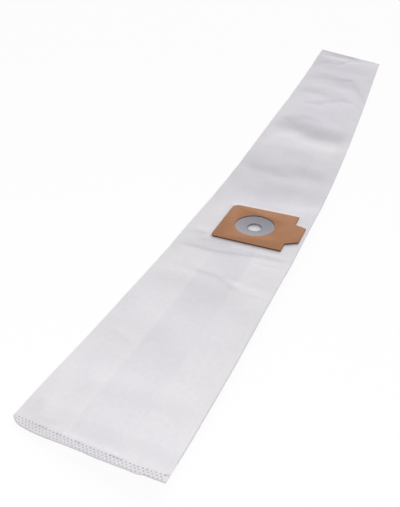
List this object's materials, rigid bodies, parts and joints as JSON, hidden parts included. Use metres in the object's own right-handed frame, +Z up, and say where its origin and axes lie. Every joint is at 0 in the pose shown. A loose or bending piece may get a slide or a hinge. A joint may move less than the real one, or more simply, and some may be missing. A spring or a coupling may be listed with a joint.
{
  "type": "vacuum dust bag",
  "caption": "Long flat side-gusseted fleece dust bag with dotted welds at both ends, a brown card collar with a tab, and a dished rubber sealing washer over the inlet.",
  "frame": {"origin": "centre of the bag's bounding box at table height, where the underside of the fleece meets the table", "axes": "+Y along the bag from the collar's end to the far end, +X towards the side with the collar's tab, +Z up out of the collar"},
  "size_m": [0.1738, 1.2872, 0.019],
  "materials": {
    "fleece": "matte non-woven fleece",
    "card": "matte brown card",
    "washer": "soft matte grey rubber"
  },
  "bodies": {
    "root": {"filter_bag": "fleece", "collar_plate": "card", "sealing_washer": "washer"}
  },
  "joints": []
}
